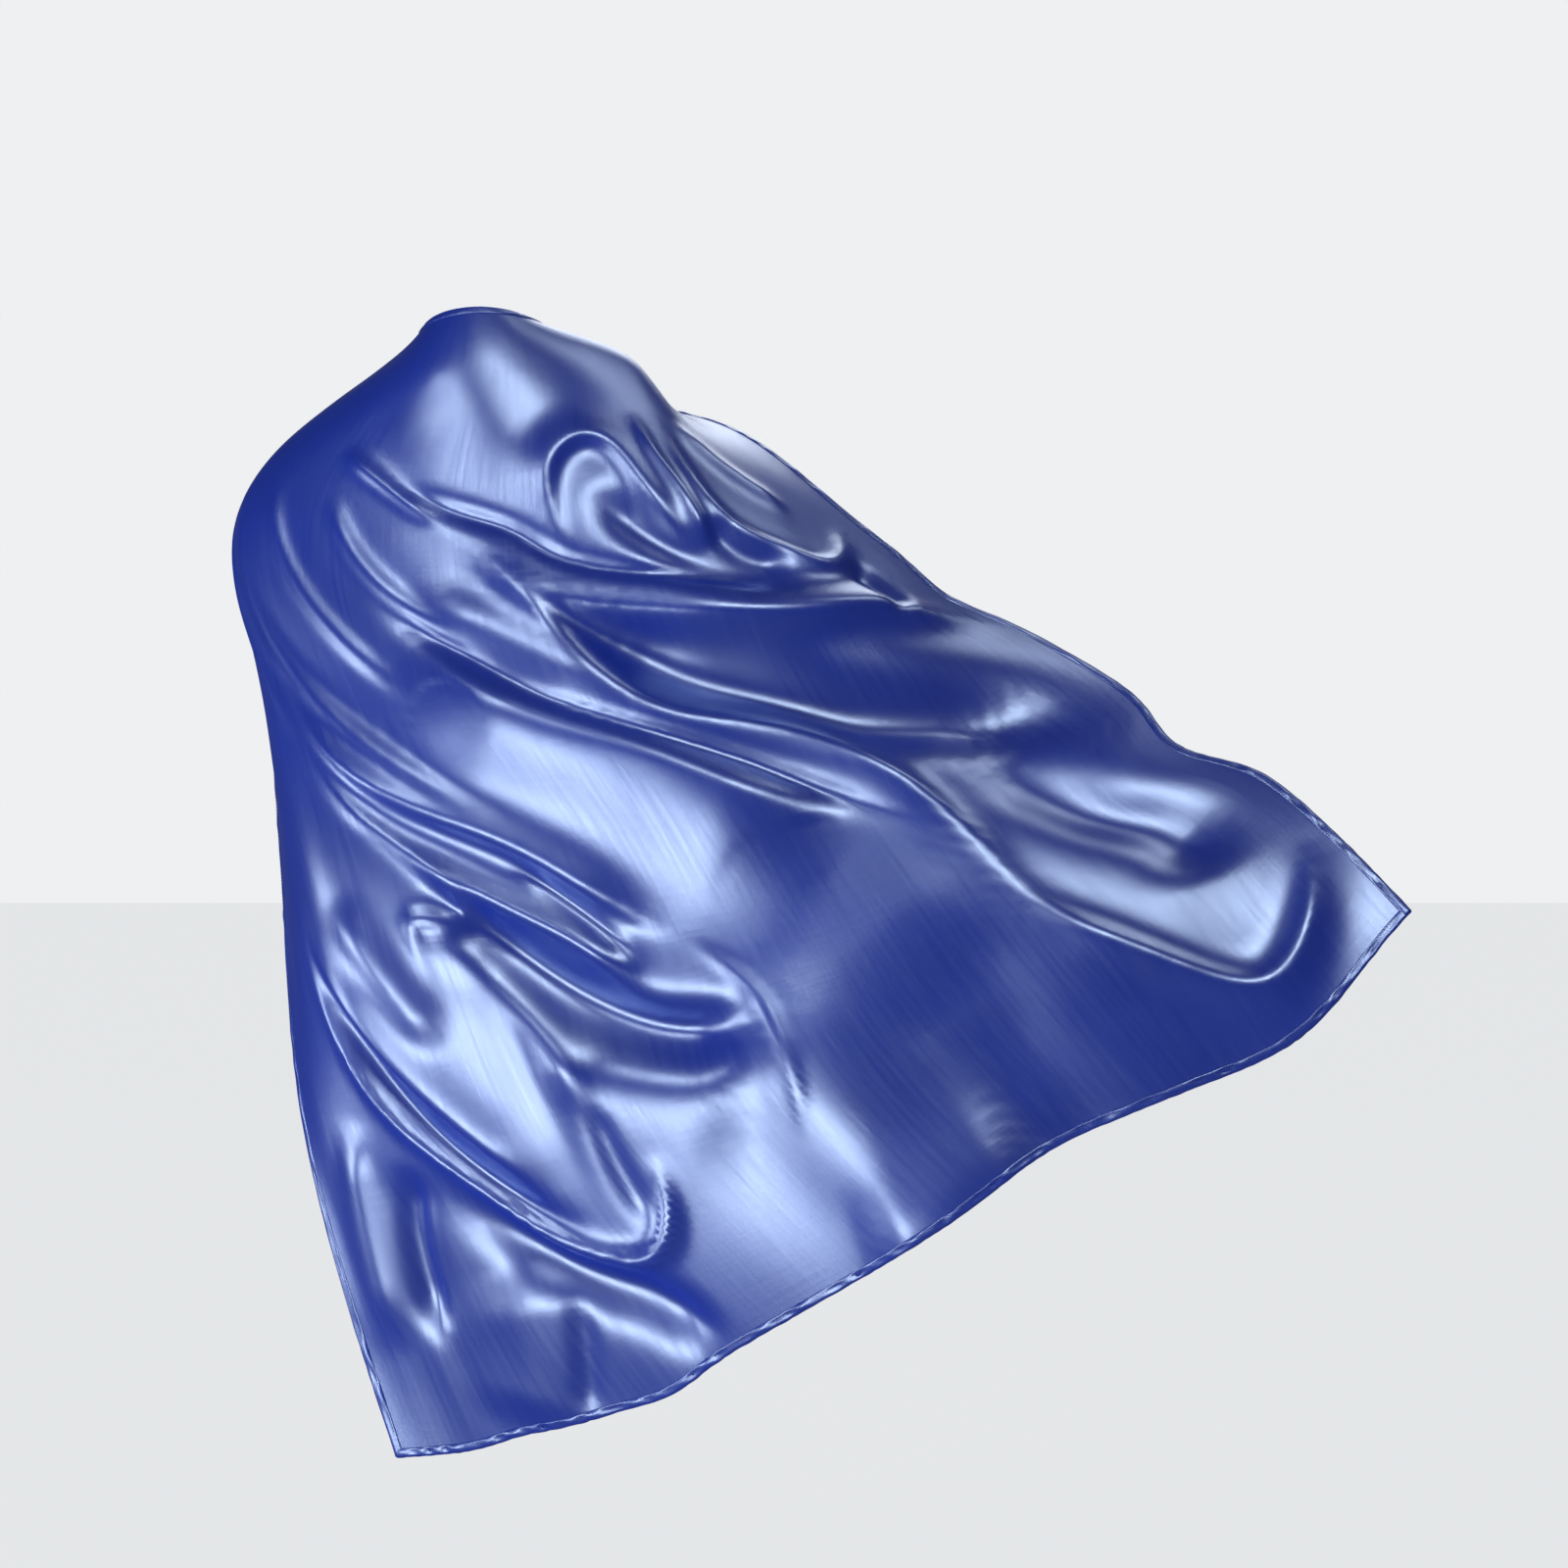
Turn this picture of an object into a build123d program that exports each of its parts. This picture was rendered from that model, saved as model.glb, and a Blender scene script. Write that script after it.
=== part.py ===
from build123d import *
import math
import os

import numpy as np

# A satin costume cape, as it hangs from a wearer's neck and blows out to the wearer's right.
# The origin is the centre of the neck opening. +Z is up, +Y is the way the wearer faces,
# and +X is the wearer's right. Every length is in millimetres and every angle in degrees.

# ---- driving sizes -----------------------------------------------------------------------

cape_spread = 1000.0           # full sideways measure of the blown cape, which the rows share out
cape_depth = 400.0             # full front to back measure, which the rows share out
cape_drop = 1100.0             # full height from the neck opening to the hem, which the rows share out

neck_radius = 60.0             # neckline, measured to the middle of the cloth
neck_gap_angle = 15.0          # from the middle of the throat to each end of the neckline
neck_middle_height = -5.0      # height of the neckline at the sides of the neck
neck_tilt_rise = 25.0          # the nape stands this much higher than the sides, the throat lower

cloth_thickness = 1.0          # the satin, drawn thicker than life so that it is a sound solid
ply_gap = 0.25                 # air between two plies that are sewn together

binding_width = 7.0            # how far the neck binding reaches down the cloth
binding_thickness = 0.8
binding_end_share = 0.005      # of the neckline, left bare at each end to clear the tabs
hem_width = 8.0                # turned-in hem, seen from inside
hem_thickness = 0.8
hem_clearance = 2.0            # between the end of one hem or binding and the next
stitch_width = 0.7
stitch_thickness = 0.4
stitch_inset = 6.0             # from the finished edge to the row of hem stitches
bottom_stitch_end = 12.0       # from each front edge to the end of the bottom row of stitches
binding_stitch_inset = 5.5     # from the top of the neckline to the row of binding stitches

tab_height = 25.0              # down the front edge of the cape
tab_thickness = 1.2
tab_root_gap = 2.5             # between the ends of a front edge's first stretch and its tab
left_tab_reach = 22.0          # along the throat, from the left front edge to the tab's tip
right_tab_reach = 34.0         # along the throat, from the right front edge to the tab's tip
tab_rise_share = 0.22          # share of the right tab's reach in which it climbs over the patches

patch_width = 18.0             # along the throat
patch_height = 17.0            # down the tab
patch_thickness = 1.2
patch_gap = 0.3                # between the hook patch and the loop patch when closed
patch_top_inset = 4.0          # from the top of the tab to the patch
patch_stitch_inset = 1.5       # from the patch's rim to its stitches
patch_corner_widths = 1.1      # thread widths from a patch's top or bottom row to its side rows

label_width = 24.0
label_length = 34.0
label_thickness = 0.6
label_top_inset = 10.0         # from the top of the neckline to the label
label_stitch_inset = 2.5

# ---- how finely the curved sheets are sampled ----------------------------------------------

panel_samples = (49, 43)       # across and down
neckline_samples = 49          # along the neck binding and its stitches
binding_fold_samples = 25      # round the folded section of the neck binding
side_samples = 61              # along a front edge
bottom_samples = 81            # along the bottom hem
strip_samples = 3              # over the width of a hem or a row of stitches
tab_samples = (25, 7)          # along and down a tab
patch_samples = (9, 5)
label_samples = (7, 7)
length_steps = 4000            # steps of the walk that measures a length down the cloth

# ---- the drape ---------------------------------------------------------------------------
# Five guide lines run down the cape, evenly spaced round it from one front edge to the other.
# A line has a point at the collar, shoulders, elbows, waist, thighs and hem. A point is
# (sideways, forward, up), in percent of cape_spread, cape_depth and cape_drop.

left_front_line = [
    (-5, 21, -7), (-16, 23, -15), (-21, 15, -30),
    (-20, 5, -49), (-17, -15, -71), (-8, -30, -98),
]
left_side_line = [
    (-11, 0, -4), (-23, 0, -15), (-20, -12, -30),
    (-14, -33, -46), (-5, -42, -69), (11, -50, -93),
]
centre_back_line = [
    (0, -24, -5), (-2, -30, -15), (1, -41, -29),
    (11, -52, -44), (21, -67, -63), (37, -83, -78),
]
right_side_line = [
    (15, -4, -3), (19, -25, -12), (27, -44, -24),
    (38, -62, -38), (50, -82, -52), (61, -92, -64),
]
right_front_line = [
    (7, 21, -6), (23, 17, -8), (38, -8, -18),
    (60, -32, -30), (74, -58, -38), (85, -82, -48),
]
guide_lines = [
    left_front_line, left_side_line, centre_back_line, right_side_line, right_front_line,
]
stations_across = 9            # stations in a row, the guide lines' own points among them


def neckline_height(angle):
    """Height of the neckline at an angle from the throat, turning towards the left shoulder."""
    return neck_middle_height - neck_tilt_rise * math.cos(math.radians(angle))


def neckline_row():
    """Stations of the neckline, evenly spaced round the neck, in millimetres."""
    row = []
    for share in np.linspace(0.0, 1.0, stations_across):
        angle = neck_gap_angle + share * (360.0 - 2.0 * neck_gap_angle)
        x = -neck_radius * math.sin(math.radians(angle))
        y = neck_radius * math.cos(math.radians(angle))
        row.append((x, y, neckline_height(angle)))
    return row


def smoothing_matrix(count):
    """Matrix from evenly spaced points to the controls of a smooth curve through them."""
    system = np.zeros((count + 2, count + 2))
    for i in range(count):
        system[i + 1, i:i + 3] = (1 / 6, 4 / 6, 1 / 6)
    system[0, :3] = (1, -2, 1)
    system[-1, -3:] = (1, -2, 1)
    return np.linalg.inv(system)[:, 1:-1]


def blend_weights(share, matrix):
    """Weights of the stations, and of their slopes, at a share of the way along a smooth curve."""
    spans = matrix.shape[1] - 1
    first = min(max(int(share * spans), 0), spans - 1)
    f = share * spans - first
    value = np.zeros(spans + 3)
    slope = np.zeros(spans + 3)
    value[first:first + 4] = [
        (1 - f) ** 3 / 6,
        (3 * f**3 - 6 * f**2 + 4) / 6,
        (-3 * f**3 + 3 * f**2 + 3 * f + 1) / 6,
        f**3 / 6,
    ]
    slope[first:first + 4] = [
        -((1 - f) ** 2) / 2,
        (3 * f**2 - 4 * f) / 2,
        (-3 * f**2 + 2 * f + 1) / 2,
        f**2 / 2,
    ]
    return value @ matrix, slope @ matrix * spans


def drape_stations():
    """All stations of the drape in millimetres, as an array of rows, columns and axes."""
    guides = np.array(guide_lines) * np.array([cape_spread, cape_depth, cape_drop]) / 100.0
    guide_matrix = smoothing_matrix(len(guide_lines))
    rows = [neckline_row()]
    for level in range(guides.shape[1]):
        row = []
        for share in np.linspace(0.0, 1.0, stations_across):
            row.append(blend_weights(share, guide_matrix)[0] @ guides[:, level])
        rows.append(row)
    return np.array(rows)


STATIONS = drape_stations()
ACROSS = smoothing_matrix(STATIONS.shape[1])
DOWN = smoothing_matrix(STATIONS.shape[0])


def drape(across, down):
    """Point, outward normal, and slopes across and down, at shares of the way over the cape."""
    value_across, slope_across = blend_weights(across, ACROSS)
    value_down, slope_down = blend_weights(down, DOWN)
    point = np.einsum("r,c,rca->a", value_down, value_across, STATIONS)
    along = np.einsum("r,c,rca->a", value_down, slope_across, STATIONS)
    drop = np.einsum("r,c,rca->a", slope_down, value_across, STATIONS)
    normal = np.cross(drop, along)
    return point, normal / np.linalg.norm(normal), along, drop


def share_down(across, length):
    """Share of the way down at which a line from the neckline is length long."""
    travelled = 0.0
    for step in range(length_steps):
        slope = np.linalg.norm(drape(across, (step + 0.5) / length_steps)[3])
        if travelled + slope / length_steps >= length:
            return (step + (length - travelled) * length_steps / slope) / length_steps
        travelled += slope / length_steps
    return 1.0


# ---- solids from curved sheets -----------------------------------------------------------

def sheet_solid(place, low, high, count_across, count_down):
    """A thin solid between two levels above the surface that place(a, b) gives, a and b 0 to 1."""
    def face_at(level):
        rows = []
        for j in range(count_down):
            row = []
            for i in range(count_across):
                point, normal = place(i / (count_across - 1), j / (count_down - 1))
                row.append(Vector(*(point + level * normal)))
            rows.append(row)
        return Face.make_surface_from_array_of_points(rows)

    lower = face_at(low)
    upper = face_at(high)
    faces = [lower, upper]
    upper_edges = list(upper.edges())
    for edge in lower.edges():
        partner = min(upper_edges, key=lambda other: (other.center() - edge.center()).length)
        upper_edges.remove(partner)
        faces.append(Face.make_surface_from_curves(edge, partner))
    return Solid(Shell(faces))


def panel_place(a, b):
    """Point and outward normal of the middle of the cloth."""
    return drape(a, b)[:2]


def across_strip(right_side, near, far, top, bottom):
    """Surface of a strip along a front edge, near to far millimetres in from that edge."""
    edge = 1.0 if right_side else 0.0
    inward = -1.0 if right_side else 1.0

    def place(a, b):
        down = top + (bottom - top) * b
        stretch = np.linalg.norm(drape(edge, down)[2])
        width = near + (far - near) * a
        return panel_place(edge + inward * width / stretch, down)

    return place


def down_strip(at_hem, near, far, left, right):
    """Surface of a strip along the neckline or the hem, near to far millimetres from it."""
    edge = 1.0 if at_hem else 0.0
    inward = -1.0 if at_hem else 1.0

    def place(a, b):
        across = left + (right - left) * a
        stretch = np.linalg.norm(drape(across, edge)[3])
        width = near + (far - near) * b
        return panel_place(across, edge + inward * width / stretch)

    return place


# ---- levels above the middle of the cloth, outward positive --------------------------------

outer_face = cloth_thickness / 2
inner_face = -cloth_thickness / 2
stitch_level = outer_face + ply_gap
binding_outer_level = outer_face + ply_gap + binding_thickness


def make_panel():
    return sheet_solid(panel_place, inner_face, outer_face, *panel_samples)


def make_neck_binding():
    """The band folded over the neckline, from the foot of its outer leg to that of its inner leg."""
    level = outer_face + ply_gap + binding_thickness / 2
    fold = math.pi * level

    def place(a, b):
        a = binding_end_share + (1 - 2 * binding_end_share) * a
        point, normal, _, drop = drape(a, 0.0)
        stretch = np.linalg.norm(drop)
        run = b * (2 * binding_width + fold)
        if run < binding_width:
            point, normal = panel_place(a, (binding_width - run) / stretch)
            return point + normal * level, normal
        if run > binding_width + fold:
            point, normal = panel_place(a, (run - binding_width - fold) / stretch)
            return point - normal * level, -normal
        turn = (run - binding_width) / level
        way = normal * math.cos(turn) - drop / stretch * math.sin(turn)
        return point + way * level, way

    half = binding_thickness / 2
    return sheet_solid(place, -half, half, neckline_samples, binding_fold_samples)


def make_side_hem(right_side):
    """The turned-in hem of a front edge, from under the neck binding down to the bottom hem."""
    edge = 1.0 if right_side else 0.0
    top = share_down(edge, binding_width + hem_clearance)
    bottom = 1.0 - (hem_width + hem_clearance) / np.linalg.norm(drape(edge, 1.0)[3])
    place = across_strip(right_side, 0.0, hem_width, top, bottom)
    high = inner_face - ply_gap
    return sheet_solid(place, high - hem_thickness, high, strip_samples, side_samples)


def make_bottom_hem():
    place = down_strip(True, hem_width, 0.0, 0.0, 1.0)
    high = inner_face - ply_gap
    return sheet_solid(place, high - hem_thickness, high, bottom_samples, strip_samples)


def make_side_hem_stitching(right_side):
    """The run of thread along a side hem, on the outer face."""
    edge = 1.0 if right_side else 0.0
    top = share_down(edge, tab_height + hem_clearance)
    bottom = 1.0 - stitch_inset / np.linalg.norm(drape(edge, 1.0)[3])
    near = stitch_inset - stitch_width / 2
    place = across_strip(right_side, near, near + stitch_width, top, bottom)
    return sheet_solid(place, stitch_level, stitch_level + stitch_thickness, strip_samples, side_samples)


def make_bottom_hem_stitching():
    near = stitch_inset - stitch_width / 2
    left = bottom_stitch_end / np.linalg.norm(drape(0.0, 1.0)[2])
    right = 1.0 - bottom_stitch_end / np.linalg.norm(drape(1.0, 1.0)[2])
    place = down_strip(True, near + stitch_width, near, left, right)
    return sheet_solid(place, stitch_level, stitch_level + stitch_thickness, bottom_samples, strip_samples)


def make_neck_stitching():
    near = binding_stitch_inset - stitch_width / 2
    end = 2 * binding_end_share
    place = down_strip(False, near, near + stitch_width, end, 1.0 - end)
    low = binding_outer_level + ply_gap
    return sheet_solid(place, low, low + stitch_thickness, neckline_samples, strip_samples)


# ---- the closure at the throat ---------------------------------------------------------------

def ring_measures(point):
    """Angle from the throat, radius, and rise above the neckline of a point near the neck."""
    x, y, z = point
    angle = math.degrees(math.atan2(-x, y))
    return np.array([angle, math.hypot(x, y), z - neckline_height(angle)])


def front_edge(right_side, depth):
    """Ring measures of the straight line down the first tab_height millimetres of a front edge."""
    across = 1.0 if right_side else 0.0
    top, _, _, drop = drape(across, 0.0)
    foot = drape(across, tab_height / np.linalg.norm(drop))[0]
    share = depth / tab_height
    return ring_measures(top) * (1 - share) + ring_measures(foot) * share


def throat_point(angle, depth, level):
    """Point on the throat between the two front edges, level millimetres outside the cloth."""
    left_angle, left_radius, left_rise = front_edge(False, depth)
    right_angle, right_radius, right_rise = front_edge(True, depth)
    share = (left_angle - angle) / (left_angle - right_angle)
    radius = left_radius + (right_radius - left_radius) * share
    rise = left_rise + (right_rise - left_rise) * share
    turn = math.radians(angle)
    out = np.array([-math.sin(turn), math.cos(turn), 0.0])
    middle = out * radius + np.array([0.0, 0.0, neckline_height(angle) + rise])
    normal = out * math.cos(throat_slope) + np.array([0.0, 0.0, math.sin(throat_slope)])
    return middle + normal * level, normal


foot_angle, foot_radius, foot_rise = front_edge(False, tab_height)
throat_slope = math.atan2(foot_radius - neck_radius, -foot_rise)


def root_angle(right_side, depth):
    """Angle of a tab's root, clear of the front edge that it grows from."""
    angle, radius, _ = front_edge(right_side, depth)
    gap = math.degrees(tab_root_gap / radius)
    return angle + gap if right_side else angle - gap


def tip_angle(right_side):
    reach = right_tab_reach if right_side else left_tab_reach
    turn = math.degrees(reach / neck_radius)
    return -neck_gap_angle + turn if right_side else neck_gap_angle - turn


closure_rise = tab_thickness + 2 * ply_gap + 2 * patch_thickness + patch_gap


def tab_place(right_side):
    """Surface of a tab: a runs from its root to its tip, b down the throat."""
    tip = tip_angle(right_side)

    def place(a, b):
        depth = b * tab_height
        root = root_angle(right_side, depth)
        climb = min(a / tab_rise_share, 1.0)
        level = closure_rise * climb * climb * (3 - 2 * climb) if right_side else 0.0
        return throat_point(root + (tip - root) * a, depth, level)

    return place


def make_tab(right_side):
    return sheet_solid(tab_place(right_side), -tab_thickness / 2, tab_thickness / 2, *tab_samples)


def patch_place(inset):
    """Surface of a fastener patch on the left tab, inset millimetres inside its rim."""
    middle = neck_gap_angle - math.degrees((tab_root_gap + left_tab_reach) / 2 / neck_radius)

    def place(a, b):
        depth = patch_top_inset + inset + (patch_height - 2 * inset) * b
        radius = front_edge(False, depth)[1]
        half_turn = math.degrees((patch_width / 2 - inset) / radius)
        return throat_point(middle + half_turn * (1 - 2 * a), depth, 0.0)

    return place


def make_loop_patch():
    low = tab_thickness / 2 + ply_gap
    return sheet_solid(patch_place(0.0), low, low + patch_thickness, *patch_samples)


def make_hook_patch():
    low = tab_thickness / 2 + ply_gap + patch_thickness + patch_gap
    return sheet_solid(patch_place(0.0), low, low + patch_thickness, *patch_samples)


def make_patch_stitching(low):
    """The rectangle of thread that holds a patch, as four runs that meet at its corners."""
    place = patch_place(patch_stitch_inset)
    wide = stitch_width / (patch_width - 2 * patch_stitch_inset)
    tall = stitch_width / (patch_height - 2 * patch_stitch_inset)
    corner = tall * patch_corner_widths
    runs = [
        (0.0, 1.0, 0.0, tall),
        (0.0, 1.0, 1.0 - tall, 1.0),
        (0.0, wide, corner, 1.0 - corner),
        (1.0 - wide, 1.0, corner, 1.0 - corner),
    ]
    solids = []
    for left, right, top, bottom in runs:
        def run_place(a, b, left=left, right=right, top=top, bottom=bottom):
            return place(left + (right - left) * a, top + (bottom - top) * b)

        solids.append(sheet_solid(run_place, low, low + stitch_thickness, *patch_samples))
    return Compound(children=solids)


def make_loop_patch_stitching():
    return make_patch_stitching(-tab_thickness / 2 - ply_gap - stitch_thickness)


def make_hook_patch_stitching():
    return make_patch_stitching(closure_rise + tab_thickness / 2 + ply_gap)


# ---- the care label ----------------------------------------------------------------------------

def label_place(near, far, half_width):
    """Surface at the nape, near to far millimetres below the neckline."""
    stretch_down = np.linalg.norm(drape(0.5, 0.0)[3])

    def place(a, b):
        down = (near + (far - near) * b) / stretch_down
        stretch_across = np.linalg.norm(drape(0.5, down)[2])
        return panel_place(0.5 + half_width * (2 * a - 1) / stretch_across, down)

    return place


label_level = inner_face - ply_gap - label_thickness


def make_care_label():
    place = label_place(label_top_inset, label_top_inset + label_length, label_width / 2)
    return sheet_solid(place, label_level, label_level + label_thickness, *label_samples)


def make_care_label_stitching():
    near = label_top_inset + label_stitch_inset
    place = label_place(near, near + stitch_width, label_width / 2 - label_stitch_inset)
    low = label_level - ply_gap - stitch_thickness
    return sheet_solid(place, low, low + stitch_thickness, label_samples[0], strip_samples)


# ---- write the pieces --------------------------------------------------------------------------

pieces = {
    "cape_panel": make_panel(),
    "neck_binding": make_neck_binding(),
    "left_hem": make_side_hem(False),
    "right_hem": make_side_hem(True),
    "bottom_hem": make_bottom_hem(),
    "left_tab": make_tab(False),
    "right_tab": make_tab(True),
    "loop_patch": make_loop_patch(),
    "hook_patch": make_hook_patch(),
    "neck_stitching": make_neck_stitching(),
    "left_hem_stitching": make_side_hem_stitching(False),
    "right_hem_stitching": make_side_hem_stitching(True),
    "bottom_hem_stitching": make_bottom_hem_stitching(),
    "loop_patch_stitching": make_loop_patch_stitching(),
    "hook_patch_stitching": make_hook_patch_stitching(),
    "care_label": make_care_label(),
    "care_label_stitching": make_care_label_stitching(),
}

os.makedirs("parts", exist_ok=True)
for node, piece in pieces.items():
    export_step(piece, f"parts/{node}.step")

hinge_line = []
for depth in (0.0, tab_height):
    middle_angle = (root_angle(True, depth) + front_edge(True, depth)[0]) / 2
    hinge_line.append(throat_point(middle_angle, depth, tab_thickness / 2)[0])
print("cloth area, square metres:", round(pieces["cape_panel"].volume / cloth_thickness / 1e6, 4))
print("right tab's hinge line:", *[np.round(point, 2) for point in hinge_line])
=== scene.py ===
import math

import bpy
import numpy as np
from bpy.props import FloatProperty, FloatVectorProperty, PointerProperty
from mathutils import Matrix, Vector


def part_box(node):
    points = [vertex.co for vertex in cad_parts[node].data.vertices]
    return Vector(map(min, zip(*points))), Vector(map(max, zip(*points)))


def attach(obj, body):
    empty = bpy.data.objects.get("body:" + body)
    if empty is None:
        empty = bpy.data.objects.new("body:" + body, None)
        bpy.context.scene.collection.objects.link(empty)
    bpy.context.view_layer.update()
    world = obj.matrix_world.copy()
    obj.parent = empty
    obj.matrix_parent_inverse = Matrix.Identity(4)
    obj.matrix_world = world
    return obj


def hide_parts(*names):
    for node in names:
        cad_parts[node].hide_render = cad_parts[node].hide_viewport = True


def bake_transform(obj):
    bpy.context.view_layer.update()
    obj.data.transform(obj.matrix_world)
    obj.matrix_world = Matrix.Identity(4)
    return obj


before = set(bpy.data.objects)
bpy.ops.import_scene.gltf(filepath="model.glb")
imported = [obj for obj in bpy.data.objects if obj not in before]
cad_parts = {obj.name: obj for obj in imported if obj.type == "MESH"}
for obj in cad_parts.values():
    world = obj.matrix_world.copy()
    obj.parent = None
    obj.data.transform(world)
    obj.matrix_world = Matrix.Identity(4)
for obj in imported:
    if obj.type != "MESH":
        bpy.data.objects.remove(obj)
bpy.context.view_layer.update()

bl_info = {
    "name": "Satin Cape",
    "version": (1, 0, 0),
    "blender": (4, 5, 0),
    "location": "3D View > Sidebar > Cape",
    "description": "Sews a draped satin cape round its packed frame",
    "category": "Mesh",
}

MM = 0.001

# ---- the drape -----------------------------------------------------------------------------
# Five guide lines run down the cape, evenly spaced round it from one front edge to the other.
# A line has a point at the collar, shoulders, elbows, waist, thighs and hem. A point is
# (sideways, forward, up), in percent of the cape's spread, depth and drop.

LEFT_FRONT_LINE = [
    (-5, 21, -7), (-16, 23, -15), (-21, 15, -30), (-20, 5, -49), (-17, -15, -71), (-8, -30, -98),
]
LEFT_SIDE_LINE = [
    (-11, 0, -4), (-23, 0, -15), (-20, -12, -30), (-14, -33, -46), (-5, -42, -69), (11, -50, -93),
]
CENTRE_BACK_LINE = [
    (0, -24, -5), (-2, -30, -15), (1, -41, -29), (11, -52, -44), (21, -67, -63), (37, -83, -78),
]
RIGHT_SIDE_LINE = [
    (15, -4, -3), (19, -25, -12), (27, -44, -24), (38, -62, -38), (50, -82, -52), (61, -92, -64),
]
RIGHT_FRONT_LINE = [
    (7, 21, -6), (23, 17, -8), (38, -8, -18), (60, -32, -30), (74, -58, -38), (85, -82, -48),
]
GUIDE_LINES = [LEFT_FRONT_LINE, LEFT_SIDE_LINE, CENTRE_BACK_LINE, RIGHT_SIDE_LINE, RIGHT_FRONT_LINE]
STATIONS_ACROSS = 9

PANEL_LOW, PANEL_HIGH = (np.array(corner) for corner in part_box("cape_panel"))
PANEL_SIZE = PANEL_HIGH - PANEL_LOW
NECK_GAP_ANGLE = 15.0                   # degrees from the middle of the throat to a front edge
NECK_MIDDLE_SHARE = -1 / 12             # height of the neckline's sides, in neck radii
NECK_TILT_SHARE = 5 / 12                # the nape stands this much higher, in neck radii


def frame_mesh_points(node):
    """Corners of a CAD node's mesh, as an array."""
    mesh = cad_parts[node].data
    points = np.empty(len(mesh.vertices) * 3, dtype=np.float32)
    mesh.vertices.foreach_get("co", points)
    return points.reshape(-1, 3).astype(float)


def smoothing_matrix(count):
    """Matrix from evenly spaced points to the controls of a smooth curve through them."""
    system = np.zeros((count + 2, count + 2))
    for i in range(count):
        system[i + 1, i:i + 3] = (1 / 6, 4 / 6, 1 / 6)
    system[0, :3] = (1, -2, 1)
    system[-1, -3:] = (1, -2, 1)
    return np.linalg.inv(system)[:, 1:-1]


def curve_weights(shares, count):
    """Weights of count evenly spaced points at each share of the way along a smooth curve."""
    shares = np.atleast_1d(np.asarray(shares, float))
    spans = count - 1
    first = np.clip((shares * spans).astype(int), 0, spans - 1)
    f = shares * spans - first
    value = np.zeros((len(shares), spans + 3))
    rows = np.arange(len(shares))
    value[rows, first] = (1 - f) ** 3 / 6
    value[rows, first + 1] = (3 * f**3 - 6 * f**2 + 4) / 6
    value[rows, first + 2] = (-3 * f**3 + 3 * f**2 + 3 * f + 1) / 6
    value[rows, first + 3] = f**3 / 6
    return value @ smoothing_matrix(count)


NECK_RADIUS = float(np.hypot(*frame_mesh_points("cape_panel")[:, :2].T).min())


def neckline_row():
    """Stations of the neckline, evenly spaced round the neck."""
    angles = np.radians(np.linspace(NECK_GAP_ANGLE, 360 - NECK_GAP_ANGLE, STATIONS_ACROSS))
    heights = NECK_RADIUS * (NECK_MIDDLE_SHARE - NECK_TILT_SHARE * np.cos(angles))
    return np.stack([-NECK_RADIUS * np.sin(angles), NECK_RADIUS * np.cos(angles), heights], axis=1)


def drape_stations(scale):
    """Stations of the drape for a cape of that spread, depth and drop."""
    guides = np.array(GUIDE_LINES, float) / 100 * scale
    across = curve_weights(np.linspace(0, 1, STATIONS_ACROSS), len(GUIDE_LINES))
    return np.concatenate([[neckline_row()], np.einsum("cg,gra->rca", across, guides)])


def surface_grid(stations, across, down):
    """Grid of points of the drape at shares across and down."""
    rows = curve_weights(down, stations.shape[0])
    columns = curve_weights(across, stations.shape[1])
    return np.einsum("jr,ic,rca->jia", rows, columns, stations)


def fitted_scale():
    """The cape's spread, depth and drop, such that the drape fills the panel's box."""
    shares = np.linspace(0, 1, 61)
    scale = PANEL_SIZE.copy()
    for _ in range(6):
        points = surface_grid(drape_stations(scale), shares, shares).reshape(-1, 3)
        scale *= PANEL_SIZE / (points.max(0) - points.min(0))
    return scale


STATIONS = drape_stations(fitted_scale())


def smooth_drape(across, down):
    """Points of the unfolded drape at lists of shares across and down."""
    rows = curve_weights(down, STATIONS.shape[0])
    columns = curve_weights(across, STATIONS.shape[1])
    return np.einsum("kr,kc,rca->ka", rows, columns, STATIONS)


# ---- the folds -----------------------------------------------------------------------------
# A fold is (height, upper width, lower width, sharpness, path). Height and widths are in
# millimetres, and a valley's height is negative. Sharpness 2 is a rounded fold and 1 a crease.
# The path's points are percent across and down the cape.

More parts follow.
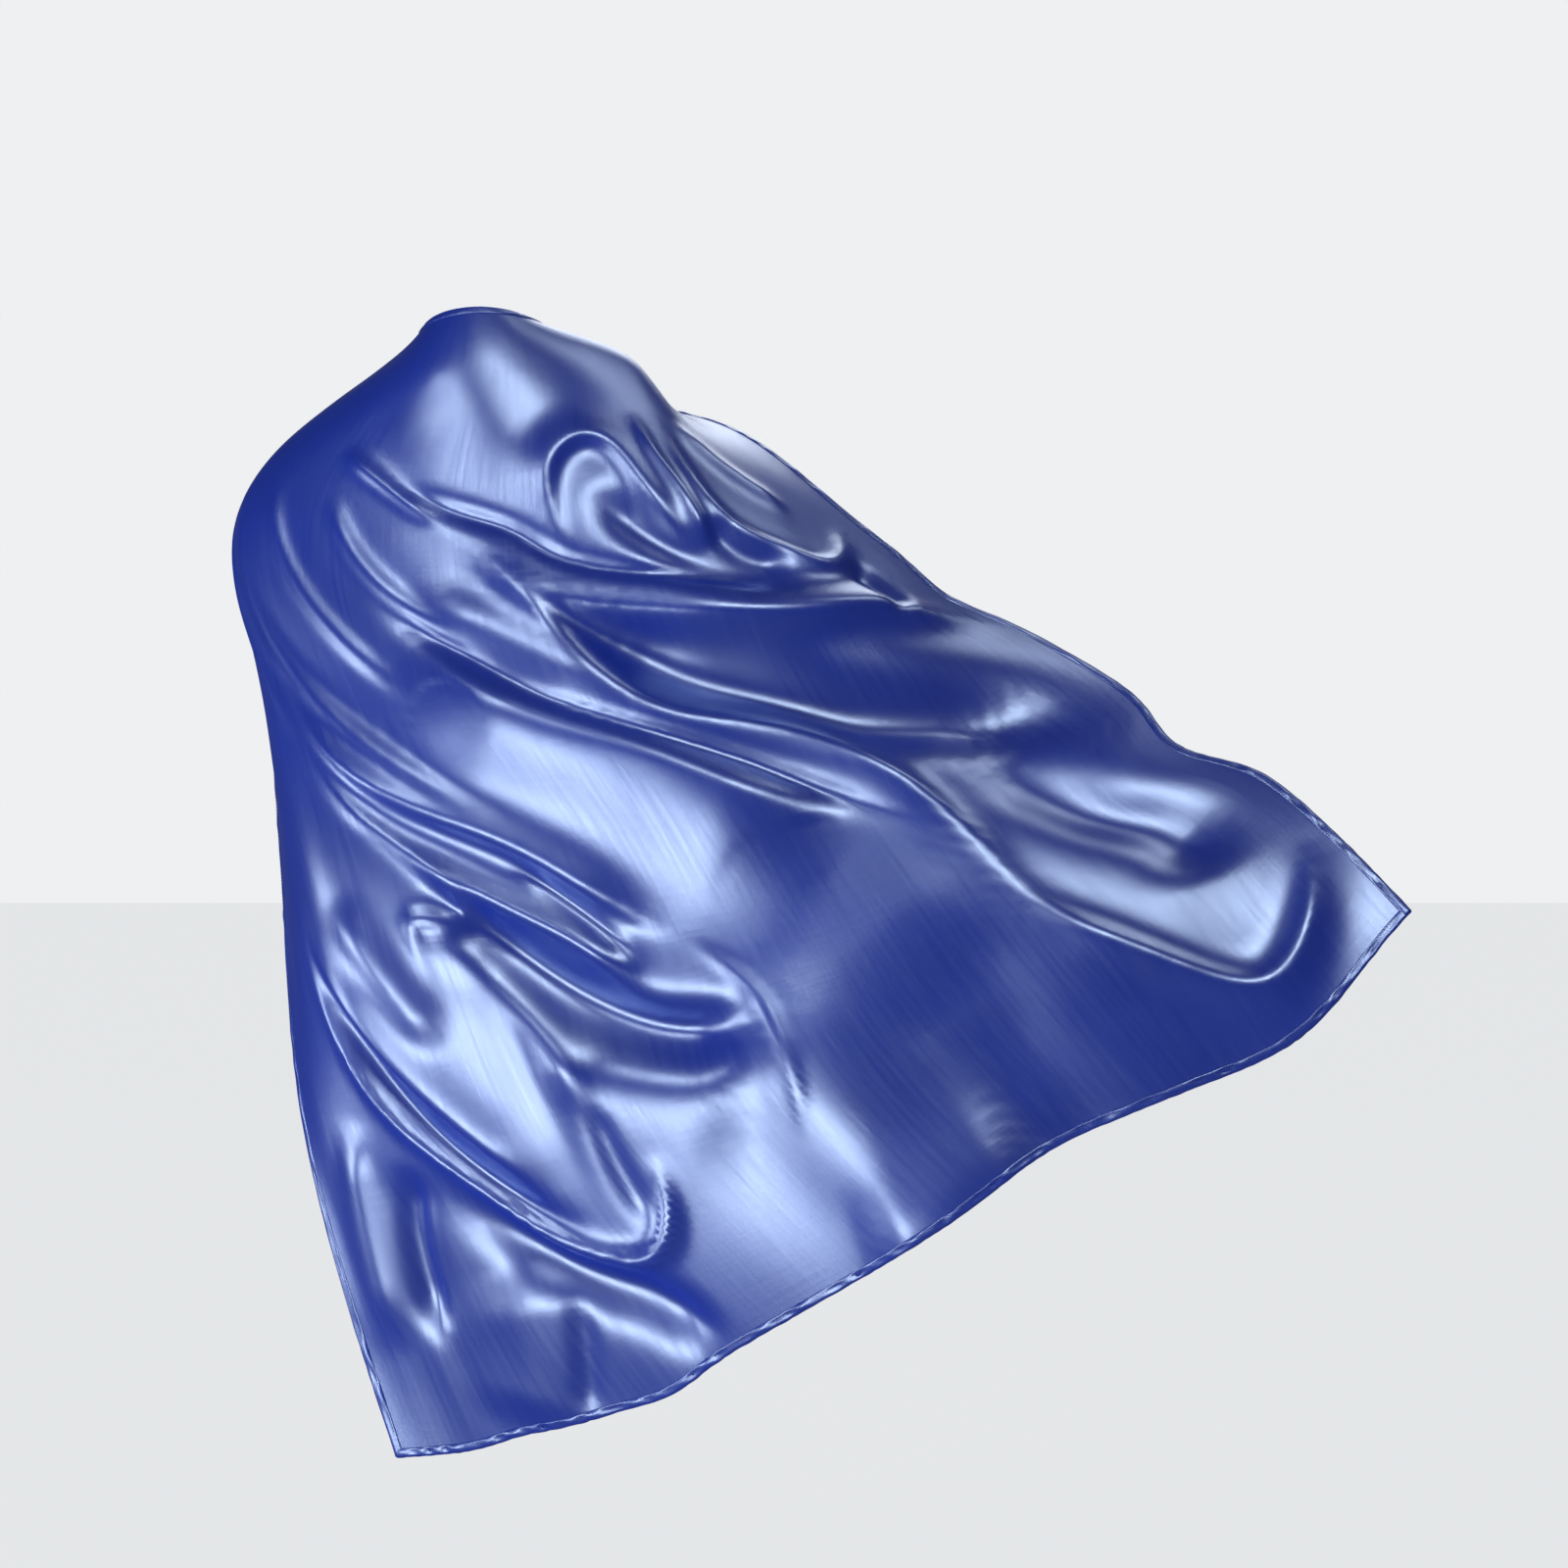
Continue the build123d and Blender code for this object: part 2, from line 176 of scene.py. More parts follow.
FOLDS = {
    "shoulder_crease": (-8, 9, 9, 1.5, [(41, 29), (49, 34), (55, 37), (60, 41), (70, 45), (77, 48)]),
    "shoulder_ridge": (17, 30, 18, 1.6, [(50, 37), (58, 44), (67, 48), (79, 52), (90, 55), (100, 60)]),
    "blade_ridge": (6, 10, 7, 1.5, [(37, 27), (43, 31), (49, 36)]),
    "long_valley": (-28, 44, 36, 2, [(51, 39), (60, 47), (65, 53), (72, 58), (80, 62), (90, 66), (98, 72)]),
    "long_ridge": (20, 14, 28, 1.5, [(51, 39), (56, 45), (60, 54), (65, 58), (71, 61), (77, 69), (79, 81)]),
    "long_ridge_end": (13, 14, 26, 1.5, [
        (77, 71), (79, 81), (82, 87), (86, 93), (90, 95), (95, 93), (98, 89),
    ]),
    "pale_flank": (7, 22, 22, 2, [(45, 42), (51, 46), (55, 50), (60, 56)]),
    "waist_crease": (-11, 9, 12, 1.5, [
        (42, 42), (46, 46), (50, 50), (54, 54), (61, 59), (70, 66), (77, 73),
    ]),
    "waist_swell": (25, 26, 88, 2, [(43, 46), (50, 53), (56, 58), (63, 64), (70, 70)]),
    "hip_ridge": (12, 26, 9, 1.6, [(27, 50), (31, 58), (38, 63), (44, 66), (49, 70), (54, 74)]),
    "wedge_ridge": (13, 14, 12, 1.6, [(33, 65), (41, 70), (46, 73), (50, 77)]),
    "wedge_top": (-7, 7, 7, 1.6, [(43, 67), (47, 71), (50, 75)]),
    "wedge_valley": (-24, 22, 32, 2, [(35, 68), (40, 73), (45, 77), (51, 80), (58, 80)]),
    "hook_ridge": (6, 10, 9, 1.6, [(26, 53), (30, 62), (37, 68), (37, 71), (33, 71), (33, 76)]),
    "hip_patch": (9, 22, 20, 2, [(33, 71), (38, 74), (41, 79), (41, 84)]),
    "thigh_patch": (7, 22, 18, 2, [(24, 69), (28, 74), (32, 79)]),
    "thigh_ridge": (12, 30, 9, 1.6, [(17, 71), (23, 77), (30, 83), (35, 88)]),
    "thigh_crease": (-11, 12, 12, 1.8, [(16, 71), (23, 80), (29, 86), (36, 91)]),
    "knee_ridge": (14, 9, 9, 1.4, [(14, 70), (19, 79), (25, 84), (30, 88), (37, 93), (42, 91), (44, 87)]),
    "knee_valley": (-17, 16, 28, 2, [(24, 85), (31, 91), (36, 95), (38, 100)]),
    "knee_swell": (8, 60, 60, 2, [(38, 83), (45, 83), (53, 87)]),
    "swell_hollow": (-5, 12, 12, 2, [(42, 83), (41, 87), (40, 92)]),
    "left_ridge": (8, 20, 24, 2, [(15, 82), (10, 88), (7, 95)]),
    "left_hollow": (-12, 17, 17, 2, [(22, 85), (17, 89), (14, 95)]),
    "hem_swell": (8, 55, 45, 2, [(26, 91), (24, 96), (19, 100)]),
    "heart_edge": (12, 80, 58, 2, [(56, 76), (57, 86), (56, 96), (54, 106)]),
    "low_hollow": (-13, 60, 80, 2, [(70, 76), (71, 86), (70, 96), (68, 108)]),
    "hem_lift": (12, 70, 70, 2, [(50, 99), (58, 100), (68, 99)]),
    "hem_hollow": (-5, 12, 12, 2, [(31, 93), (28, 97), (25, 100)]),
    "thin_arc": (3, 6, 6, 1.6, [(54, 74), (57, 78), (57, 84), (54, 90)]),
    "right_valley": (-17, 44, 40, 2, [(82, 64), (87, 72), (91, 80), (91, 87)]),
    "loop_ridge": (9, 24, 10, 1.6, [
        (60, 42), (59, 36), (59, 30), (62, 27), (66, 29), (69, 34), (71, 39), (73, 43),
    ]),
    "loop_hollow": (-10, 19, 19, 2, [(63, 33), (66, 37), (69, 41), (75, 46), (82, 50)]),
    "fan_ridge": (7, 8, 8, 1.5, [(69, 24), (71, 30), (73, 35), (74, 40), (74, 43)]),
    "middle_ridge": (10, 9, 13, 1.6, [
        (73, 25), (75, 31), (76, 36), (78, 42), (82, 46), (86, 49), (91, 49), (96, 47),
    ]),
    "middle_valley": (-7, 14, 14, 2, [(75, 40), (77, 44), (82, 48)]),
    "outer_ridge": (6, 12, 12, 1.8, [(79, 27), (84, 36), (90, 44)]),
    "elbow_hollow": (-9, 15, 15, 2, [(90, 50), (91, 53), (92, 56)]),
    "upper_streak": (4, 10, 10, 2, [(24, 32), (27, 45), (35, 56), (46, 66)]),
    "middle_streak": (4, 10, 10, 2, [(30, 30), (35, 42), (43, 53)]),
    "blade_streak": (4, 9, 9, 2, [(38, 32), (42, 40), (50, 49)]),
    "side_streak": (4, 9, 9, 2, [(18, 30), (20, 44), (26, 57)]),
}

# Waves of the cut edges: (percent along the edge, half width in percent, shift in millimetres),
# outwards positive, down the right front edge and across the hem.
RIGHT_EDGE_WAVES = [(56, 3, -18), (75, 5, -34)]
HEM_WAVES = [(88, 9, 32), (67, 7, -14), (32, 4, 10), (18, 5, -6)]
WAVE_REACH = 0.22                       # share of the cloth over which an edge's wave dies away

GRID_ACROSS = 217
GRID_DOWN = 225
ROUTE_STEPS = 120
CREASE_BLEND = 3 * MM                   # over which a fold's upper width turns into its lower one
RIPPLE_SEED = 7
RIPPLES = [(11, 8, 1.6), (34, 22, 0.28)]   # cells across, cells down, height in millimetres
NECK_FLAT = 0.03                        # share down the cape that stays quite flat
NECK_CALM = 0.22                        # share below it over which the folds grow to full height
FOLD_RISE = 0.3                         # share of a fold's run over which it rises
FOLD_FALL = 0.25                        # and over which it dies away again
FOLD_REACH = 3.2                        # widths from a fold beyond which it isn't felt
_made = {}


def spline_points(path, steps):
    """Evenly spread points of a smooth curve through a fold's path."""
    points = np.array(path, float)
    return curve_weights(np.linspace(0, 1, steps), len(points)) @ points


def smooth_step(value):
    """Rises smoothly from 0 to 1 as the value does."""
    value = np.clip(value, 0, 1)
    return value * value * (3 - 2 * value)


def fold_heights(points, normals):
    """Total height of all the folds at each point of the unfolded drape, in metres."""
    total = np.zeros(len(points))
    run = np.linspace(0, 1, ROUTE_STEPS)
    taper = smooth_step(run / FOLD_RISE) * smooth_step((1 - run) / FOLD_FALL)
    for height, upper, lower, sharpness, path in FOLDS.values():
        route = spline_points(path, ROUTE_STEPS) / 100
        line = smooth_drape(route[:, 0], route[:, 1])
        reach = max(upper, lower) * MM * FOLD_REACH
        inside = (points > line.min(0) - reach) & (points < line.max(0) + reach)
        near = np.flatnonzero(inside.all(axis=1))
        gap = points[near][:, None, :] - line[None]
        square = np.einsum("pka,pka->pk", gap, gap)
        closest = square.argmin(1)
        rows = np.arange(len(near))
        tangent = np.gradient(line, axis=0)[closest]
        tangent /= np.linalg.norm(tangent, axis=1, keepdims=True)
        offset = gap[rows, closest]
        side = np.einsum("pa,pa->p", np.cross(tangent, normals[near]), offset)
        below = 0.5 + 0.5 * np.tanh(side / CREASE_BLEND)
        width = (upper + (lower - upper) * below) * MM
        distance = np.sqrt(square[rows, closest])
        total[near] += height * MM * taper[closest] * np.exp(-(distance / width) ** sharpness)
    return total


def ripple_heights(across, down):
    """Small seeded ripples over the whole cloth, in metres, as a grid."""
    random = np.random.default_rng(RIPPLE_SEED)
    total = np.zeros((len(down), len(across)))
    for cells_across, cells_down, height in RIPPLES:
        knots = random.normal(size=(cells_down, cells_across))
        rows = curve_weights(down, cells_down)
        columns = curve_weights(across, cells_across)
        total += height * MM * rows @ knots @ columns.T
    return total


def grid_normals(grid):
    """Outward normals of a grid of points."""
    along = np.gradient(grid, axis=1)
    drop = np.gradient(grid, axis=0)
    normals = np.cross(drop, along)
    return normals / np.linalg.norm(normals, axis=2, keepdims=True)


def wave_sum(shares, waves):
    """Shift of an edge at shares along it, in metres."""
    total = np.zeros(len(shares))
    for middle, half, shift in waves:
        total += shift * MM * np.exp(-((shares * 100 - middle) / half) ** 2)
    return total


def folded_cloth():
    """Grids of the folded cloth's points and outward normals, worked out once."""
    if "cloth" in _made:
        return _made["cloth"]
    across = np.linspace(0, 1, GRID_ACROSS)
    down = np.linspace(0, 1, GRID_DOWN)
    base = surface_grid(STATIONS, across, down)
    sideways = np.gradient(base, axis=1)
    sideways /= np.linalg.norm(sideways, axis=2, keepdims=True)
    downwards = np.gradient(base, axis=0)
    downwards /= np.linalg.norm(downwards, axis=2, keepdims=True)
    near_right = smooth_step((across - 1 + WAVE_REACH) / WAVE_REACH)
    near_hem = smooth_step((down - 1 + WAVE_REACH) / WAVE_REACH)
    right = wave_sum(down, RIGHT_EDGE_WAVES)[:, None] * near_right[None]
    hem = wave_sum(across, HEM_WAVES)[None] * near_hem[:, None]
    shaped = base + sideways * right[:, :, None] + downwards * hem[:, :, None]
    normals = grid_normals(shaped)
    heights = fold_heights(base.reshape(-1, 3), normals.reshape(-1, 3)).reshape(GRID_DOWN, GRID_ACROSS)
    heights += ripple_heights(across, down)
    calm = smooth_step((down[:, None] - NECK_FLAT) / NECK_CALM)
    points = shaped + normals * (heights * calm)[:, :, None]
    _made["cloth"] = (points, grid_normals(points))
    return _made["cloth"]


def on_cloth(across, down, level=0.0):
    """Points a given level outside the folded cloth, and its normals, at lists of shares."""
    points, normals = folded_cloth()
    x = np.clip(np.asarray(across, float), 0, 1) * (GRID_ACROSS - 1)
    y = np.clip(np.asarray(down, float), 0, 1) * (GRID_DOWN - 1)
    i = np.minimum(x.astype(int), GRID_ACROSS - 2)
    j = np.minimum(y.astype(int), GRID_DOWN - 2)
    u = (x - i)[..., None]
    v = (y - j)[..., None]

    def mixed(grid):
        upper = grid[j, i] * (1 - u) + grid[j, i + 1] * u
        lower = grid[j + 1, i] * (1 - u) + grid[j + 1, i + 1] * u
        return upper * (1 - v) + lower * v

    normal = mixed(normals)
    normal /= np.linalg.norm(normal, axis=-1, keepdims=True)
    return mixed(points) + normal * np.asarray(level)[..., None], normal


# ---- meshes --------------------------------------------------------------------------------

def new_piece(name, points, faces, uvs=None):
    """A smooth mesh object at the origin, its corners given in the frame."""
    mesh = bpy.data.meshes.new(name)
    mesh.from_pydata([tuple(p) for p in points], [], [tuple(f) for f in faces])
    if uvs is not None:
        layer = mesh.uv_layers.new(name="cloth")
        corners = np.empty(len(mesh.loops), dtype=np.int32)
        mesh.loops.foreach_get("vertex_index", corners)
        layer.data.foreach_set("uv", np.asarray(uvs)[corners].ravel())
    mesh.shade_smooth()
    piece = bpy.data.objects.new(name, mesh)
    bpy.context.scene.collection.objects.link(piece)
    return piece


def grid_faces(rows, columns, ring=False):
    """Quads of a grid with its rows down; ring joins the last column to the first."""
    j, i = np.meshgrid(np.arange(rows - 1), np.arange(columns if ring else columns - 1), indexing="ij")
    a = (j * columns + i).ravel()
    b = (j * columns + (i + 1) % columns).ravel()
    return np.stack([a, a + columns, b + columns, b], axis=1)


def apply_modifier(piece, kind, **settings):
    """Add a modifier to a piece and apply it."""
    modifier = piece.modifiers.new(kind.lower(), kind)
    for key, value in settings.items():
        setattr(modifier, key, value)
    bpy.ops.object.select_all(action="DESELECT")
    bpy.context.view_layer.objects.active = piece
    piece.select_set(True)
    bpy.ops.object.modifier_apply(modifier=modifier.name)
    return piece


def sheet_piece(name, grid, thickness):
    """A thin solid sheet whose middle is a grid of points, with a map in metres called cloth."""
    rows, columns = grid.shape[:2]
    across = np.linalg.norm(np.diff(grid, axis=1), axis=2).mean(0)
    down = np.linalg.norm(np.diff(grid, axis=0), axis=2).mean(1)
    u, v = np.meshgrid(np.append(0, across.cumsum()), np.append(0, down.cumsum()))
    lay = np.stack([u.ravel(), -v.ravel()], 1)
    piece = new_piece(name, grid.reshape(-1, 3), grid_faces(rows, columns), lay)
    return apply_modifier(piece, "SOLIDIFY", thickness=thickness, offset=0.0, use_even_offset=True)


def finish_piece(piece, body, material, slot, *nodes):
    """Give a piece its material and body, and let it stand for CAD nodes. The slot is not used."""
    piece.data.materials.clear()
    piece.data.materials.append(material)
    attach(piece, body)
    if nodes:
        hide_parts(*nodes)
    _made[piece.name] = piece
    return piece


# ---- finishes ------------------------------------------------------------------------------

class Wire:
    """One output socket, on which Python's operators add Math nodes."""

    def __init__(self, finish, socket):
        self.finish = finish
        self.socket = socket

    def join(self, operation, *values):
        """A Math node on the values."""
        return self.finish.node("ShaderNodeMath", {"operation": operation}, dict(enumerate(values)))

    def __add__(self, other):
        return self.join("ADD", self, other)

    def __mul__(self, other):
        return self.join("MULTIPLY", self, other)

    __radd__ = __add__
    __rmul__ = __mul__


class Finish:
    """A material whose nodes are added one call at a time."""

    def __init__(self, name):
        self.material = bpy.data.materials.new(name)
        self.material.use_nodes = True
        self.tree = self.material.node_tree
        self.shader = self.tree.nodes["Principled BSDF"]

    def put(self, socket, value):
        """Link a wire to a socket, or set the socket to a value."""
        if isinstance(value, Wire):
            self.tree.links.new(value.socket, socket)
        elif isinstance(value, (tuple, list)) and len(value) == 3 and socket.type == "RGBA":
            socket.default_value = (*value, 1)
        else:
            socket.default_value = value

    def node(self, kind, settings=None, inputs=None, output=0):
        """Add a node of a kind, with its settings and sockets, and give one of its outputs."""
        made = self.tree.nodes.new(kind)
        for key, value in (settings or {}).items():
            setattr(made, key, value)
        for key, value in (inputs or {}).items():
            self.put(made.inputs[key], value)
        return Wire(self, made.outputs[output])

    def mix(self, factor, first, second):
        """A colour between two colours."""
        sockets = {0: factor, 6: first, 7: second}
        return self.node("ShaderNodeMix", {"data_type": "RGBA"}, sockets, 2)

    def stretched(self, scale, turn=0.0, source="UV"):
        """Coordinates over the piece, stretched and turned."""
        coords = self.node("ShaderNodeTexCoord", output=source)
        sockets = {"Vector": coords, "Rotation": (0, 0, turn), "Scale": scale}
        return self.node("ShaderNodeMapping", None, sockets)

    def noise(self, vector, scale, detail=2.0):
        """Soft noise, from 0 to 1."""
        sockets = {"Vector": vector, "Scale": scale, "Detail": detail}
        return self.node("ShaderNodeTexNoise", None, sockets)

    def surface(self, **values):
        """Set the surface's sockets, with _ for a space, and give the material."""
        for key, value in values.items():
            self.put(self.shader.inputs[key.replace("_", " ")], value)
        return self.material

    def bump(self, height, strength, distance):
        """A normal bent by a height."""
        sockets = {"Strength": strength, "Distance": distance, "Height": height}
        return self.node("ShaderNodeBump", None, sockets)


def satin(name, deep, bright, weave=1.0):
    """Glossy satin: long floats of yarn, soft slubs, and a colour that shifts a little."""
    finish = Finish(name)
    cloth = finish.stretched((1, 1, 1))
    patches = finish.noise(cloth, 5.0, 3.0)
    slub = finish.noise(finish.stretched((260, 9, 1)), 1.0, 2.0)
    cross_slub = finish.noise(finish.stretched((9, 200, 1), 0.02), 1.0, 2.0)
    yarns = finish.node(
        "ShaderNodeTexWave", {"bands_direction": "X"}, {"Vector": cloth, "Scale": 420.0, "Distortion": 0.6}, 1
    )
    tone = finish.mix(patches, deep, bright)
    height = slub * 0.5 + cross_slub * 0.35 + yarns * 0.12 * weave
    return finish.surface(
        Base_Color=tone,
        Roughness=slub * 0.12 + patches * 0.05 + 0.23,
        Normal=finish.bump(height, 0.22, 0.0006),
        IOR=2.0,
        Specular_IOR_Level=1.0,
        Specular_Tint=(0.60, 0.76, 1.0, 1.0),
        Sheen_Weight=0.06,
        Sheen_Roughness=0.35,
        Sheen_Tint=(0.55, 0.65, 1.0, 1.0),
    )


def woven(name, low, high, roughness, scale):
    """Plain matt tape or thread with a fine woven or twisted relief."""
    finish = Finish(name)
    place = finish.stretched((1, 1, 1), 0.7, "Object")
    fibres = finish.noise(place, scale, 3.0)
    return finish.surface(
        Base_Color=finish.mix(fibres, low, high),
        Roughness=fibres * 0.15 + roughness,
        Normal=finish.bump(fibres, 0.35, 0.0003),
    )


def finishes():
    """The cape's materials by slot, made once."""
    if "finishes" not in _made:
        look = bpy.context.scene.cape
        deep, bright = tuple(look.satin_deep), tuple(look.satin_bright)
        _made["finishes"] = {
            "satin": satin("royal_satin", deep, bright),
            "binding": satin("binding_satin", deep, bright, 2.0),
            "thread": woven("sewing_thread", (0.010, 0.03, 0.20), (0.03, 0.07, 0.36), 0.45, 900.0),
            "loop_tape": woven("loop_tape", (0.005, 0.012, 0.07), (0.02, 0.04, 0.17), 0.75, 1400.0),
            "hook_tape": woven("hook_tape", (0.006, 0.014, 0.08), (0.02, 0.035, 0.15), 0.45, 700.0),
            "label_tape": woven("label_tape", (0.72, 0.72, 0.70), (0.88, 0.88, 0.86), 0.5, 1200.0),
        }
    return _made["finishes"]


# ---- the throat ----------------------------------------------------------------------------

def neckline_height(angle):
    """Height of the neckline at an angle from the throat, in degrees."""
    return NECK_RADIUS * (NECK_MIDDLE_SHARE - NECK_TILT_SHARE * math.cos(math.radians(angle)))


def ring_measures(point):
    """Angle from the throat, radius, and rise above the neckline of a point near the neck."""
    x, y, z = point
    angle = math.degrees(math.atan2(-x, y))
    return np.array([angle, math.hypot(x, y), z - neckline_height(angle)])


def front_edge(right_side, depth):
    """Ring measures of a front edge's first stretch, depth below the neckline."""
    look = bpy.context.scene.cape
    across = 1.0 if right_side else 0.0
    top, below = smooth_drape([across, across], [0, 0.01])
    foot = smooth_drape([across], [0.01 * look.tab_height / np.linalg.norm(below - top)])[0]
    share = depth / look.tab_height
    return ring_measures(top) * (1 - share) + ring_measures(foot) * share


def throat_point(angle, depth, level):
    """Point on the throat between the two front edges, level outside the cloth."""
    look = bpy.context.scene.cape
    left_angle, left_radius, left_rise = front_edge(False, depth)
    right_angle, right_radius, right_rise = front_edge(True, depth)
    share = (left_angle - angle) / (left_angle - right_angle)
    _, foot_radius, foot_rise = front_edge(False, look.tab_height)
    slope = math.atan2(foot_radius - NECK_RADIUS, -foot_rise)
    turn = math.radians(angle)
    out = np.array([-math.sin(turn), math.cos(turn), 0.0])
    rise = left_rise + (right_rise - left_rise) * share
    middle = out * (left_radius + (right_radius - left_radius) * share)
    middle[2] = neckline_height(angle) + rise
    normal = out * math.cos(slope) + np.array([0.0, 0.0, math.sin(slope)])
    return middle + normal * level, normal


def throat_grid(columns, rows, place):
    """Grid of throat points; place(a, b) gives angle, depth and level."""
    return np.array([[throat_point(*place(a, b))[0] for a in np.linspace(0, 1, columns)]
                     for b in np.linspace(0, 1, rows)])


def closure_rise():
    """How far the right tab lies outside the left one."""
    look = bpy.context.scene.cape
    return look.tab_thickness + 2 * PLY_GAP + 2 * look.patch_thickness + PATCH_GAP


def tab_grid(right_side):
    """Middle surface of a tab, from under the front edge that it is sewn to out to its tip."""
    look = bpy.context.scene.cape
    reach = look.right_tab_reach if right_side else look.left_tab_reach
    turn = math.degrees(reach / NECK_RADIUS)
    tip = -NECK_GAP_ANGLE + turn if right_side else NECK_GAP_ANGLE - turn

    def place(a, b):
        depth = b * look.tab_height
        root = front_edge(right_side, depth)[0]
        climb = smooth_step((a - TAB_CLIMB_START) / TAB_CLIMB_SHARE)
        level = closure_rise() * climb if right_side else 0.0
        puff = TAB_PUFF * math.sin(math.pi * b) * math.sin(9 * a + 2 * b)
        corner = TIP_ROUNDING * smooth_step((a - 1 + TIP_SHARE) / TIP_SHARE) * (2 * b - 1) ** 4
        return root + (tip - root) * a * (1 - corner), depth, level + puff * (1 - climb * 0.7)

    return throat_grid(TAB_COLUMNS, TAB_ROWS, place)


def patch_middle():
    """Angle of the middle of the two fastener patches, in degrees."""
    look = bpy.context.scene.cape
    return NECK_GAP_ANGLE - math.degrees((TAB_ROOT_GAP + look.left_tab_reach) / 2 / NECK_RADIUS)


def patch_place(level, inset=0.0):
    """Places over a patch for throat_grid, inset from its edges."""
    look = bpy.context.scene.cape

    def place(a, b):
        depth = PATCH_TOP_INSET + inset + (look.patch_height - 2 * inset) * b
        radius = front_edge(False, depth)[1]
        half_turn = math.degrees((look.patch_width / 2 - inset) / radius)
        return patch_middle() + half_turn * (1 - 2 * a), depth, level

    return place


# ---- stitches ------------------------------------------------------------------------------

def stitch_shape():
    """One sewn stitch, one metre long, lying along x: corners and faces."""
    if "stitch" in _made:
        return _made["stitch"]
    bpy.ops.object.select_all(action="DESELECT")
    bpy.ops.mesh.primitive_cylinder_add(vertices=6, radius=0.5, depth=1.0, rotation=(0, math.pi / 2, 0))
    model = bpy.context.active_object
    bpy.ops.object.transform_apply(rotation=True)
    bpy.ops.object.mode_set(mode="EDIT")
    bpy.ops.mesh.select_all(action="SELECT")
    bpy.ops.mesh.bisect(plane_co=(-0.3, 0, 0), plane_no=(1, 0, 0))
    bpy.ops.mesh.select_all(action="SELECT")
    bpy.ops.mesh.bisect(plane_co=(0.3, 0, 0), plane_no=(1, 0, 0))
    bpy.ops.mesh.select_all(action="SELECT")
    bpy.ops.mesh.normals_make_consistent(inside=False)
    bpy.ops.object.mode_set(mode="OBJECT")
    points = np.array([tuple(v.co) for v in model.data.vertices])
    ends = np.abs(points[:, 0]) > 0.4
    points[ends, 1:] *= 0.45
    points[ends, 2] -= 0.55
    faces = [tuple(face.vertices) for face in model.data.polygons]
    bpy.data.objects.remove(model)
    _made["stitch"] = (points, faces)
    return _made["stitch"]


def stitch_row(name, places):
    """Stitches at places of (point, along, outward), each its own copy of the one modelled stitch."""
    look = bpy.context.scene.cape
    shape, faces = stitch_shape()
    size = np.array([look.stitch_length, look.thread_width, look.thread_width])
    points, quads = [], []
    for point, along, outward in places:
        along = along / np.linalg.norm(along)
        side = np.cross(outward, along)
        side /= np.linalg.norm(side)
        local = shape * size
        base = len(points) * len(shape)
        points.append(point + local @ np.array([along, side, np.cross(along, side)]))
        quads += [tuple(base + corner for corner in face) for face in faces]
    return new_piece(name, np.concatenate(points), quads)


def cloth_route(across, down, level):
    """Evenly spaced stitch places along a line of shares over the folded cloth."""
    look = bpy.context.scene.cape
    points, normals = on_cloth(across, down, level)
    travelled = np.append(0, np.linalg.norm(np.diff(points, axis=0), axis=1).cumsum())
    marks = np.arange(look.stitch_pitch, travelled[-1] - look.stitch_pitch, look.stitch_pitch)
    spots = np.stack([np.interp(marks, travelled, points[:, k]) for k in range(3)], 1)
    outward = np.stack([np.interp(marks, travelled, normals[:, k]) for k in range(3)], 1)
    return [(p, d, n) for p, d, n in zip(spots, np.gradient(spots, axis=0), outward)]


def edge_share(kind, inset):
    """Shares along a finished edge and that inset in from it: functions of the way along."""
    points, _ = folded_cloth()
    across_step = np.linalg.norm(points[:, 1:] - points[:, :-1], axis=2)
    if kind in ("left", "right"):
        span = across_step[:, :4].mean(1) if kind == "left" else across_step[:, -4:].mean(1)
        along = np.linspace(0, 1, GRID_DOWN)
        share = inset / span / (GRID_ACROSS - 1)

        def place(t):
            away = np.interp(t, along, share)
            return (away if kind == "left" else 1 - away), t
    else:
        down_step = np.linalg.norm(points[1:] - points[:-1], axis=2)
        span = down_step[:4].mean(0) if kind == "neck" else down_step[-4:].mean(0)
        along = np.linspace(0, 1, GRID_ACROSS)
        share = inset / span / (GRID_DOWN - 1)

        def place(t):
            away = np.interp(t, along, share)
            return t, (away if kind == "neck" else 1 - away)

    return place


def edge_band(name, kind, width, thickness, start, end, steps, pucker):
    """Cloth folded over a finished edge: an outer leg, a rolled edge and an inner leg."""
    random = np.random.default_rng(len(name))
    t = np.linspace(start, end, steps)
    knots = int((end - start) * GRID_DOWN * PUCKER_KNOTS)
    puckers = curve_weights(np.linspace(0, 1, steps), knots) @ random.normal(size=(knots, 3))
    rows = []
    for position in np.linspace(-1, 1, BAND_SECTION):
        leg = min(abs(position) / BAND_LEG, 1.0)
        inset = width * leg
        across, down = edge_share(kind, inset)(t)
        lift = thickness * (0.55 + 0.9 * math.sqrt(max(1 - leg ** 4, 0)))
        level = lift * (-1 if position > 0 else 1)
        if abs(position) < BAND_EDGE:
            level = lift * -position / BAND_EDGE
        side = 1 if position < 0 else -0.6
        wobble = pucker * puckers[:, 0] * math.sin(math.pi * leg) * side
        point, normal = on_cloth(across, down, level + wobble)
        if abs(position) < BAND_ROLL:
            edge_point, _ = on_cloth(*edge_share(kind, 0.0)(t))
            inner_point, _ = on_cloth(*edge_share(kind, width)(t))
            way = edge_point - inner_point
            way /= np.linalg.norm(way, axis=1, keepdims=True)
            roll = thickness * 0.9 + pucker * 0.5 * np.abs(puckers[:, 1])
            roll *= 1 - abs(position) / BAND_ROLL
            point = point + way * roll[:, None]
        rows.append(point)
    grid = np.array(rows)
    if kind in ("left", "bottom"):
        grid = grid[::-1]
    return sheet_piece(name, grid, thickness * 0.5)


